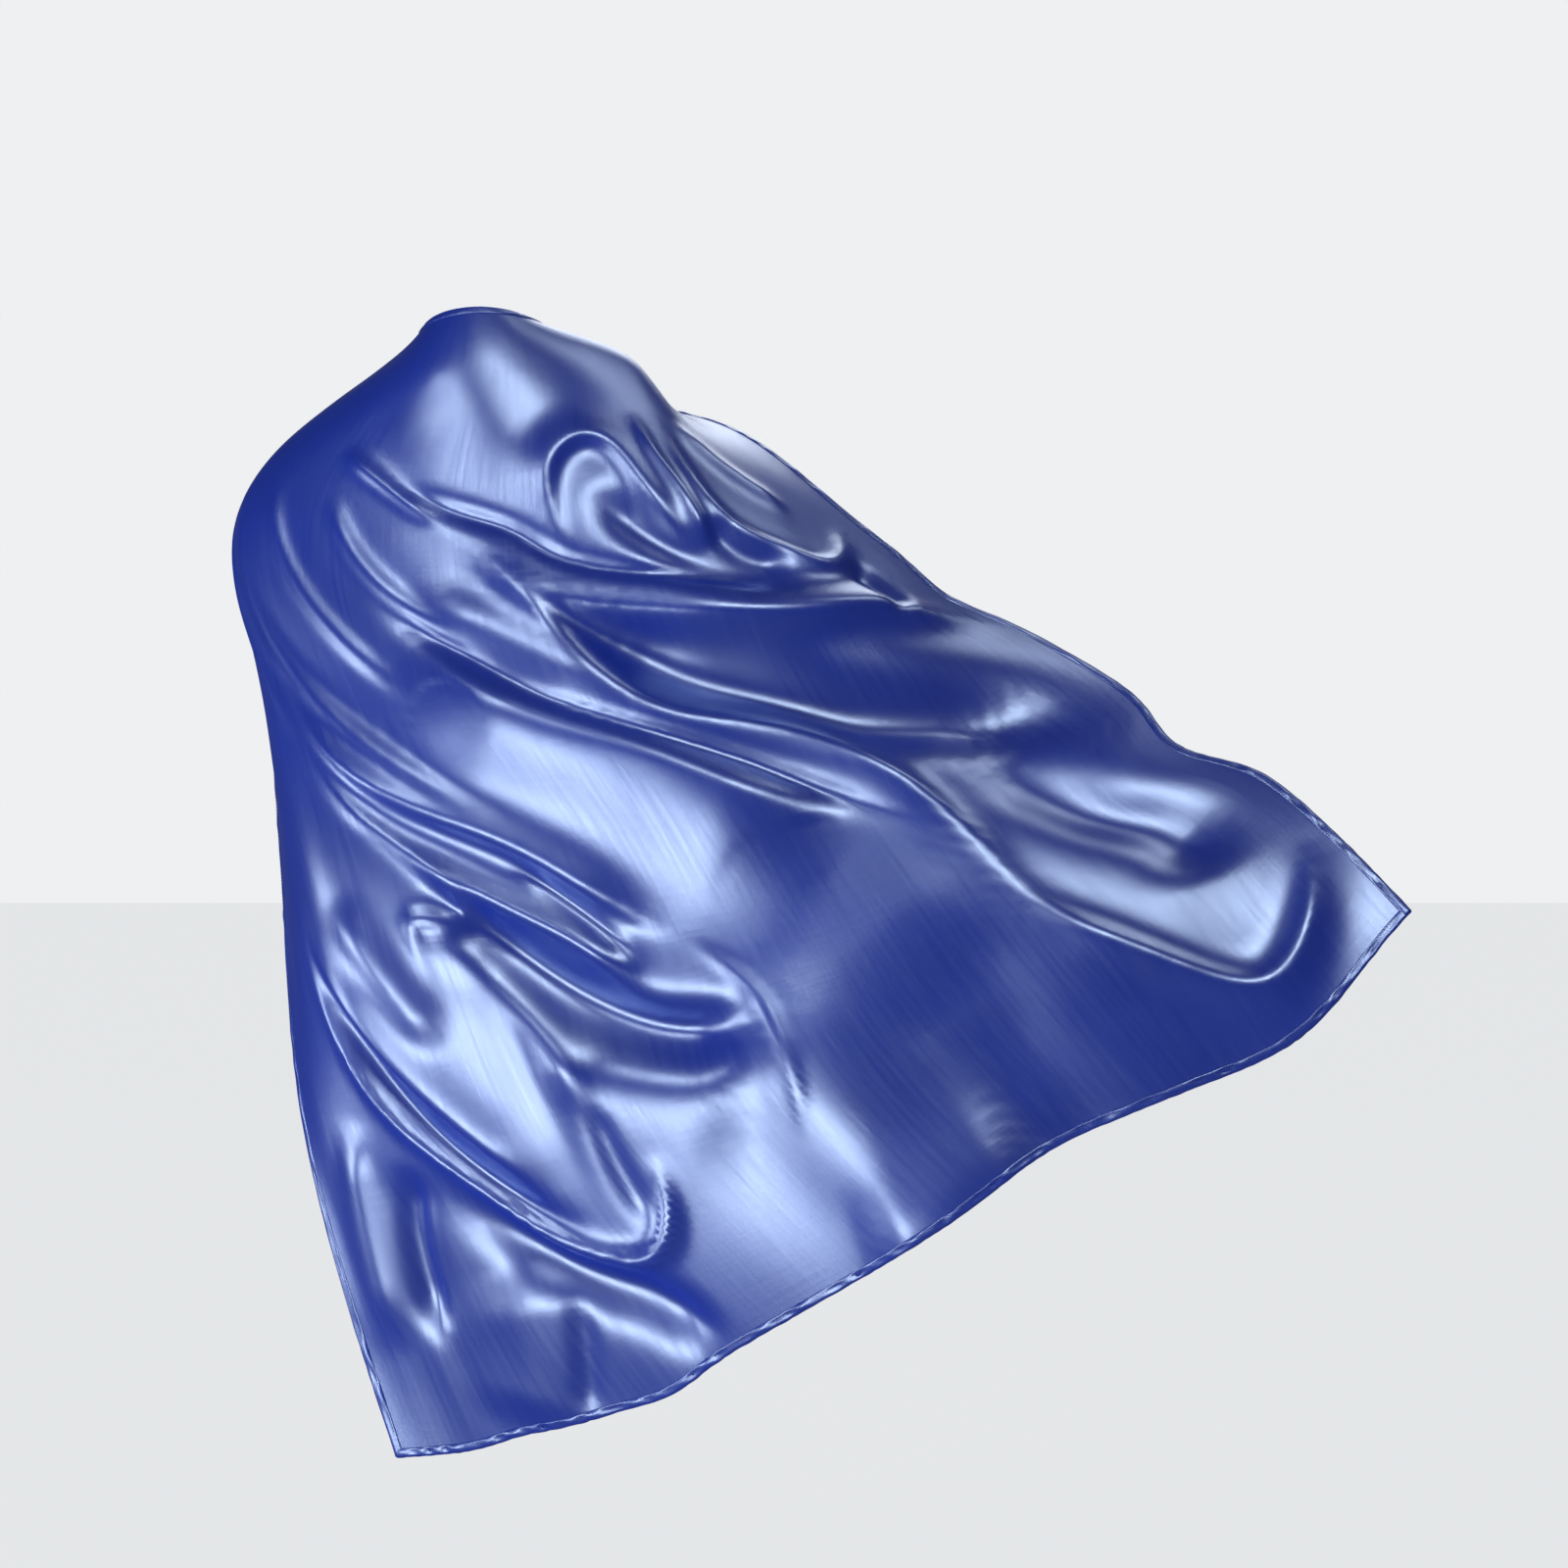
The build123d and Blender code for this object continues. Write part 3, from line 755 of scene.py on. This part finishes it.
# ---- sizes and colours ---------------------------------------------------------------------

PLY_GAP = 0.25 * MM
PATCH_GAP = 0.3 * MM
PATCH_TOP_INSET = 4 * MM
TAB_ROOT_GAP = 2.5 * MM
TAB_CLIMB_START = 0.08                  # share of the right tab's reach where it starts to climb
TAB_CLIMB_SHARE = 0.24
TAB_PUFF = 0.35 * MM                    # how far a tab's middle swells and dips
TAB_COLUMNS = 41
TAB_ROWS = 25
TIP_ROUNDING = 0.12
TIP_SHARE = 0.2                         # share of a tab over which its tip's corners round off
BAND_SECTION = 19                       # points round the section of a folded edge
BAND_LEG = 0.9                          # share of each side of the section that is the leg
BAND_EDGE = 0.12                        # share in which it passes from one leg to the other
BAND_ROLL = 0.2                         # share that rolls out past the cloth's edge
PUCKER_KNOTS = 0.55                     # puckers for each row of the cloth's grid
PATCH_BACKING = 0.45                    # share of a patch's thickness that is woven backing
PILE_HEIGHT = 0.42                      # share of it that is the height of its loops or hooks
PILE_ROWS = 15
PILE_COLUMNS = 16
PILE_MARGIN = 0.03
PILE_SCATTER = 0.006
LABEL_TOP = 10 * MM                     # from the neckline down to the label
LABEL_ROWS = 29
LABEL_COLUMNS = 21


def length(name, description, default):
    return FloatProperty(
        name=name, description=description, default=default, min=0.0, unit="LENGTH", subtype="DISTANCE"
    )


def colour(name, description, default):
    return FloatVectorProperty(
        name=name, description=description, default=default, size=3, subtype="COLOR", min=0, max=1
    )


class CapeSizes(bpy.types.PropertyGroup):
    cloth_thickness: length("Cloth thickness", "Thickness of the satin", 0.5 * MM)
    hem_width: length("Hem width", "How far the hem is turned in", 8 * MM)
    hem_thickness: length("Hem thickness", "Thickness of the turned cloth", 0.7 * MM)
    hem_pucker: length("Hem pucker", "Height of the puckers along a hem", 0.55 * MM)
    binding_width: length("Binding width", "How far the neck binding reaches down", 7 * MM)
    binding_thickness: length("Binding thickness", "Thickness of the folded band", 0.8 * MM)
    stitch_inset: length("Stitch inset", "From a finished edge to its stitches", 6 * MM)
    stitch_length: length("Stitch length", "Seen length of one stitch", 2.5 * MM)
    stitch_pitch: length("Stitch pitch", "From one stitch to the next", 3.2 * MM)
    thread_width: length("Thread width", "Thickness of the thread", 0.45 * MM)
    tab_height: length("Tab height", "Height of the throat tabs", 25 * MM)
    tab_thickness: length("Tab thickness", "Thickness of a throat tab", 1.2 * MM)
    left_tab_reach: length("Left tab reach", "Length of the left tab along the throat", 22 * MM)
    right_tab_reach: length("Right tab reach", "Length of the right tab along the throat", 34 * MM)
    patch_width: length("Patch width", "Fastener patch along the throat", 18 * MM)
    patch_height: length("Patch height", "Fastener patch down the tab", 17 * MM)
    patch_thickness: length("Patch thickness", "Fastener patch with its pile or hooks", 1.2 * MM)
    label_width: length("Label width", "Width of the blank label", 24 * MM)
    label_length: length("Label length", "Length of the blank label", 34 * MM)
    satin_deep: colour("Deep satin", "Colour of the satin in its darker places", (0.003, 0.017, 0.24))
    satin_bright: colour("Bright satin", "Colour of the satin in its brighter places", (0.006, 0.031, 0.42))


# ---- operators -----------------------------------------------------------------------------

class CAPE_OT_panel(bpy.types.Operator):
    """Make the draped and folded satin panel"""
    bl_idname = "cape.panel"
    bl_label = "Cape Panel"

    def execute(self, context):
        points, _ = folded_cloth()
        panel = sheet_piece("satin_panel", points, context.scene.cape.cloth_thickness)
        finish_piece(panel, "cape", finishes()["satin"], "satin", "cape_panel")
        return {"FINISHED"}


class CAPE_OT_hems(bpy.types.Operator):
    """Make the turned and puckered hems of the front edges and the bottom"""
    bl_idname = "cape.hems"
    bl_label = "Hems"

    def execute(self, context):
        look = context.scene.cape
        for kind, node, start, steps in (
            ("left", "left_hem", 0.012, 520),
            ("right", "right_hem", 0.012, 500),
            ("bottom", "bottom_hem", 0.0, 560),
        ):
            hem = edge_band(
                f"satin_{node}", kind, look.hem_width, look.hem_thickness, start, 1.0, steps, look.hem_pucker
            )
            finish_piece(hem, "cape", finishes()["satin"], "satin", node)
        return {"FINISHED"}


class CAPE_OT_neck_binding(bpy.types.Operator):
    """Make the band folded over the neckline"""
    bl_idname = "cape.neck_binding"
    bl_label = "Neck Binding"

    def execute(self, context):
        look = context.scene.cape
        band = edge_band(
            "satin_neck_binding", "neck", look.binding_width, look.binding_thickness, 0.0, 1.0, 260, 0.12 * MM
        )
        finish_piece(band, "cape", finishes()["binding"], "binding", "neck_binding")
        return {"FINISHED"}


class CAPE_OT_edge_stitches(bpy.types.Operator):
    """Sew the rows of stitches along the neckline and the hems"""
    bl_idname = "cape.edge_stitches"
    bl_label = "Edge Stitches"

    def execute(self, context):
        look = context.scene.cape
        for kind, node, start, end, level in (
            ("left", "left_hem_stitching", 0.03, 0.99, look.hem_thickness * 1.9),
            ("right", "right_hem_stitching", 0.03, 0.99, look.hem_thickness * 1.9),
            ("bottom", "bottom_hem_stitching", 0.012, 0.988, look.hem_thickness * 1.9),
            ("neck", "neck_stitching", 0.01, 0.99, look.binding_thickness * 1.9),
        ):
            inset = look.stitch_inset if kind != "neck" else look.stitch_inset - 0.5 * MM
            across, down = edge_share(kind, inset)(np.linspace(start, end, 900))
            row = stitch_row(f"thread_{node}", cloth_route(across, down, level))
            finish_piece(row, "cape", finishes()["thread"], "thread", node)
        return {"FINISHED"}


class CAPE_OT_tabs(bpy.types.Operator):
    """Make the two tabs that close over each other at the throat"""
    bl_idname = "cape.tabs"
    bl_label = "Throat Tabs"

    def execute(self, context):
        look = context.scene.cape
        left = sheet_piece("satin_left_tab", tab_grid(False), look.tab_thickness)
        finish_piece(left, "cape", finishes()["satin"], "satin", "left_tab")
        right = sheet_piece("satin_right_tab", tab_grid(True)[:, ::-1], look.tab_thickness)
        right.data.materials.clear()
        right.data.materials.append(finishes()["satin"])
        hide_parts("right_tab")
        grid = tab_grid(True)
        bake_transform(right)
        _made[right.name] = right
        return {"FINISHED"}


def small_shape(arch):
    """A pile loop or a moulded hook, one unit high: a thin bent strip's corners and faces."""
    turn = math.pi if arch else math.pi * 0.72
    rings = []
    for step in np.linspace(0, 1, 5):
        angle = turn * step
        middle = np.array([0.5 * (1 - math.cos(angle)), 0.0, math.sin(angle)])
        for corner in range(3):
            around = 2 * math.pi * corner / 3
            section = (math.cos(around) * math.cos(angle), math.sin(around), 0.6 * math.cos(around))
            rings.append(middle + 0.14 * np.array(section))
    faces = [tuple(face) for face in grid_faces(5, 3, ring=True)] + [(2, 1, 0), (12, 13, 14)]
    return np.array(rings), faces


def pile(level, outwards, arch, height):
    """Rows of loops or hooks over a patch, standing out or in, each a copy of one shape."""
    look = bpy.context.scene.cape
    random = np.random.default_rng(11 if arch else 12)
    shape, faces = small_shape(arch)
    place = patch_place(level, 1.0 * MM)
    points, quads = [], []
    for b in np.linspace(PILE_MARGIN, 1 - PILE_MARGIN, PILE_ROWS):
        for a in np.linspace(PILE_MARGIN, 1 - PILE_MARGIN, PILE_COLUMNS):
            aside = random.normal() * PILE_SCATTER
            below = random.normal() * PILE_SCATTER
            spot, normal = throat_point(*place(a + aside, b + below))
            up = normal * outwards
            twist = random.uniform(0, math.tau) if arch else random.normal() * 0.15
            first = np.cross(up, (0.0, 0.0, 1.0))
            first /= np.linalg.norm(first)
            second = np.cross(up, first)
            axis = first * math.cos(twist) + second * math.sin(twist)
            size = height * random.uniform(0.8, 1.15)
            base = len(points) * len(shape)
            points.append(spot + (shape * size) @ np.array([axis, np.cross(up, axis), up]))
            quads += [tuple(base + corner for corner in face) for face in faces]
    return np.concatenate(points), quads


class CAPE_OT_fastener(bpy.types.Operator):
    """Make the loop patch, the hook patch and the stitches that hold them to the tabs"""
    bl_idname = "cape.fastener"
    bl_label = "Hook and Loop Fastener"

    def execute(self, context):
        look = context.scene.cape
        low = look.tab_thickness / 2 + PLY_GAP
        backing = look.patch_thickness * PATCH_BACKING
        high = low + look.patch_thickness * 2 + PATCH_GAP
        for kind, level, root, outwards, arch, body in (
            ("loop", low + backing / 2, low + backing, 1, True, "cape"),
            ("hook", high - backing / 2, high - backing, -1, False, "closure_flap"),
        ):
            grid = throat_grid(25, 23, patch_place(level))
            patch = sheet_piece(f"{kind}_tape_patch", grid, backing)
            points, faces = pile(root, outwards, arch, look.patch_thickness * PILE_HEIGHT)
            relief = new_piece(f"{kind}_tape_pile", points, faces)
            slot = f"{kind}_tape"
            finish_piece(patch, body, finishes()[slot], slot, f"{kind}_patch")
            finish_piece(relief, body, finishes()[slot], slot)
        rise = closure_rise()
        for kind, level, body in (
            ("loop", -look.tab_thickness / 2 - PLY_GAP, "cape"),
            ("hook", rise + look.tab_thickness / 2 + PLY_GAP, "closure_flap"),
        ):
            row = stitch_row(f"thread_{kind}_patch_stitching", self.rectangle(level, look))
            finish_piece(row, body, finishes()["thread"], "thread", f"{kind}_patch_stitching")
        return {"FINISHED"}

    def rectangle(self, level, look):
        """Places of the stitches round a patch."""
        place = patch_place(level, 1.5 * MM)
        corners = [(0, 0), (1, 0), (1, 1), (0, 1), (0, 0)]
        places = []
        for (a, b), (c, d) in zip(corners, corners[1:]):
            side = look.patch_width if b == d else look.patch_height
            count = max(int((side - 3 * MM) / look.stitch_pitch), 2)
            for step in (np.arange(count) + 0.5) / count:
                spot, normal = throat_point(*place(a + (c - a) * step, b + (d - b) * step))
                ahead, _ = throat_point(*place(a + (c - a) * (step + 0.05), b + (d - b) * (step + 0.05)))
                places.append((spot, ahead - spot, normal))
        return places


class CAPE_OT_label(bpy.types.Operator):
    """Make the blank label inside the nape and its stitches"""
    bl_idname = "cape.label"
    bl_label = "Blank Label"

    def execute(self, context):
        look = context.scene.cape
        points, _ = folded_cloth()
        middle = GRID_ACROSS // 2
        down_metres = np.linalg.norm(points[1, middle] - points[0, middle]) * (GRID_DOWN - 1)
        rows = []
        curl = np.cos(np.linspace(-3, 3, LABEL_COLUMNS))
        for b in np.linspace(0, 1, LABEL_ROWS):
            down = (LABEL_TOP + look.label_length * b) / down_metres
            beside = on_cloth([0.5, 0.501], [down, down])[0]
            per_share = np.linalg.norm(beside[1] - beside[0]) / 0.001
            across = 0.5 + np.linspace(-0.5, 0.5, LABEL_COLUMNS) * look.label_width / per_share
            lift = -1.1 * MM - 1.6 * MM * b * b - 0.3 * MM * curl * b
            rows.append(on_cloth(across, np.full(LABEL_COLUMNS, down), lift)[0])
        label = sheet_piece("blank_care_label", np.array(rows), 0.25 * MM)
        finish_piece(label, "cape", finishes()["label_tape"], "label_tape", "care_label")
        down = np.full(200, (LABEL_TOP + 2.5 * MM) / down_metres)
        across = 0.5 + np.linspace(-0.42, 0.42, 200) * look.label_width / per_share
        row = stitch_row("thread_care_label_stitching", [
            (p, d, -n) for p, d, n in cloth_route(across, down, -1.45 * MM)
        ])
        finish_piece(row, "cape", finishes()["thread"], "thread", "care_label_stitching")
        return {"FINISHED"}


# ---- the stage -----------------------------------------------------------------------------

CAMERA_DISTANCE = 4.0
CAMERA_ELEVATION = 4.0
CAMERA_AIM = (0.49, 0.58)               # shares of the panel's width and height
FRAME_WIDTH = 1.531                     # width of the view at the cape, in metres
SENSOR = 36.0
FLOOR_HEIGHT = -1.45                    # at the feet of a wearer whose collar is at the origin
FLOOR_REACH = 9.0
SKY_STRENGTH = 0.04
FLOOR_GLOW = 0.80
SKY_COLOUR = (0.9, 0.95, 1, 1)
BACKDROP_COLOUR = (0.86, 0.87, 0.88, 1)
LIT_PLACE = (0.3, -0.2, -0.5)           # the point on the cape that every light faces
LIGHTS = (                              # name, azimuth, elevation, distance, width, height, watts
    ("key", 6, 50, 4.0, 1.1, 1.1, 42),
    ("side_key", -44, 33, 3.6, 0.8, 0.6, 20),
    ("low_card", -44, -11, 3.0, 1.2, 0.7, 27),
    ("left_card", -84, -11, 3.0, 0.9, 0.7, 16),
    ("rim", 115, 62, 3.4, 0.9, 0.9, 9),
    ("back", 180, 35, 3.6, 1.8, 1.8, 40),
)


class CAPE_OT_stage(bpy.types.Operator):
    """Set the plain pale floor, the soft lights and the camera"""
    bl_idname = "cape.stage"
    bl_label = "Stage"

    def execute(self, context):
        scene = context.scene
        world = bpy.data.worlds.new("studio")
        scene.world = world
        world.use_nodes = True
        tree = world.node_tree
        sky = tree.nodes["Background"]
        sky.inputs["Color"].default_value = SKY_COLOUR
        sky.inputs["Strength"].default_value = SKY_STRENGTH
        paper = tree.nodes.new("ShaderNodeBackground")
        paper.inputs["Color"].default_value = BACKDROP_COLOUR
        seen = tree.nodes.new("ShaderNodeLightPath")
        blend = tree.nodes.new("ShaderNodeMixShader")
        tree.links.new(seen.outputs["Is Camera Ray"], blend.inputs[0])
        tree.links.new(sky.outputs[0], blend.inputs[1])
        tree.links.new(paper.outputs[0], blend.inputs[2])
        tree.links.new(blend.outputs[0], tree.nodes["World Output"].inputs["Surface"])
        scene.view_settings.view_transform = "Standard"
        centre = Vector(LIT_PLACE)
        for name, azimuth, elevation, distance, width, height, watts in LIGHTS:
            turn, lift = math.radians(azimuth), math.radians(elevation)
            way = Vector((math.sin(turn) * math.cos(lift), -math.cos(turn) * math.cos(lift), math.sin(lift)))
            light = bpy.data.objects.new(name, bpy.data.lights.new(name, "AREA"))
            light.data.shape = "RECTANGLE"
            light.data.size = width
            light.data.size_y = height
            light.data.energy = watts
            light.location = centre + way * distance
            light.rotation_euler = (-way).to_track_quat("-Z", "Y").to_euler()
            scene.collection.objects.link(light)
            light.visible_camera = False
        self.floor()
        self.camera(scene)
        return {"FINISHED"}

    def floor(self):
        """A plain pale floor, wide enough to fill the view from every side."""
        sides = (-FLOOR_REACH, FLOOR_REACH)
        corners = [(x, y, FLOOR_HEIGHT) for y in sides for x in sides]
        floor = new_piece("floor", corners, [(0, 1, 3, 2)])
        finish = Finish("pale_floor")
        floor.data.materials.append(finish.surface(
            Base_Color=(0.03, 0.03, 0.03), Roughness=1.0, Specular_IOR_Level=0.0,
            Emission_Color=(0.96, 0.98, 1.0), Emission_Strength=FLOOR_GLOW,
        ))
        floor.visible_glossy = False

    def camera(self, scene):
        """A camera behind the wearer, a little above the middle of the cape."""
        camera = bpy.data.objects.new("camera", bpy.data.cameras.new("camera"))
        scene.collection.objects.link(camera)
        scene.camera = camera
        camera.data.sensor_width = SENSOR
        camera.data.lens = SENSOR * CAMERA_DISTANCE / FRAME_WIDTH
        side = PANEL_LOW[0] + CAMERA_AIM[0] * PANEL_SIZE[0]
        height = PANEL_LOW[2] + CAMERA_AIM[1] * PANEL_SIZE[2]
        aim = Vector((side, 0, height))
        lift = math.radians(CAMERA_ELEVATION)
        way = Vector((0, -math.cos(lift), math.sin(lift)))
        camera.location = aim + way * CAMERA_DISTANCE
        camera.rotation_euler = (-way).to_track_quat("-Z", "Y").to_euler()


class CAPE_PT_sidebar(bpy.types.Panel):
    """Lists the cape's pieces in the order in which they are made"""
    bl_idname = "CAPE_PT_sidebar"
    bl_label = "Satin Cape"
    bl_space_type = "VIEW_3D"
    bl_region_type = "UI"
    bl_category = "Cape"

    def draw(self, context):
        look = context.scene.cape
        for name in CapeSizes.__annotations__:
            self.layout.prop(look, name)
        for operator in OPERATORS:
            self.layout.operator(operator.bl_idname)


OPERATORS = (
    CAPE_OT_panel, CAPE_OT_hems, CAPE_OT_neck_binding, CAPE_OT_edge_stitches,
    CAPE_OT_tabs, CAPE_OT_fastener, CAPE_OT_label, CAPE_OT_stage,
)
CLASSES = (CapeSizes, *OPERATORS, CAPE_PT_sidebar)


def register():
    for kind in CLASSES:
        bpy.utils.register_class(kind)
    bpy.types.Scene.cape = PointerProperty(type=CapeSizes)


def unregister():
    del bpy.types.Scene.cape
    for kind in reversed(CLASSES):
        bpy.utils.unregister_class(kind)


def main():
    register()
    bpy.ops.cape.panel()
    bpy.ops.cape.hems()
    bpy.ops.cape.neck_binding()
    bpy.ops.cape.edge_stitches()
    bpy.ops.cape.tabs()
    bpy.ops.cape.fastener()
    bpy.ops.cape.label()
    bpy.ops.cape.stage()


if __name__ == "__main__":
    main()
